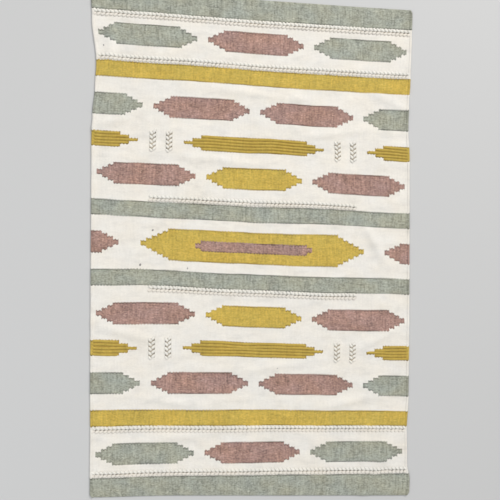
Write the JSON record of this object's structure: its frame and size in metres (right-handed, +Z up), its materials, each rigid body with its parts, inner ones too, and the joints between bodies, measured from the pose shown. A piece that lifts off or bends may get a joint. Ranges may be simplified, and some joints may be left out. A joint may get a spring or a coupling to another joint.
{
  "type": "flat-woven wool rug",
  "caption": "Rectangular flat-woven wool rug with raised braid rows, ribbed bars, herringbone marks and corded side edges, lying flat.",
  "frame": {"origin": "on the floor, under the middle of the rug", "axes": "+X across the rug, +Y along it towards the end that is at the top of the picture, +Z up from the floor"},
  "size_m": [1.2, 1.889, 0.0079],
  "materials": {
    "wool": "matt hand-woven wool with bands in several colours"
  },
  "bodies": {
    "root": {"woven_rug": "wool"}
  },
  "joints": []
}
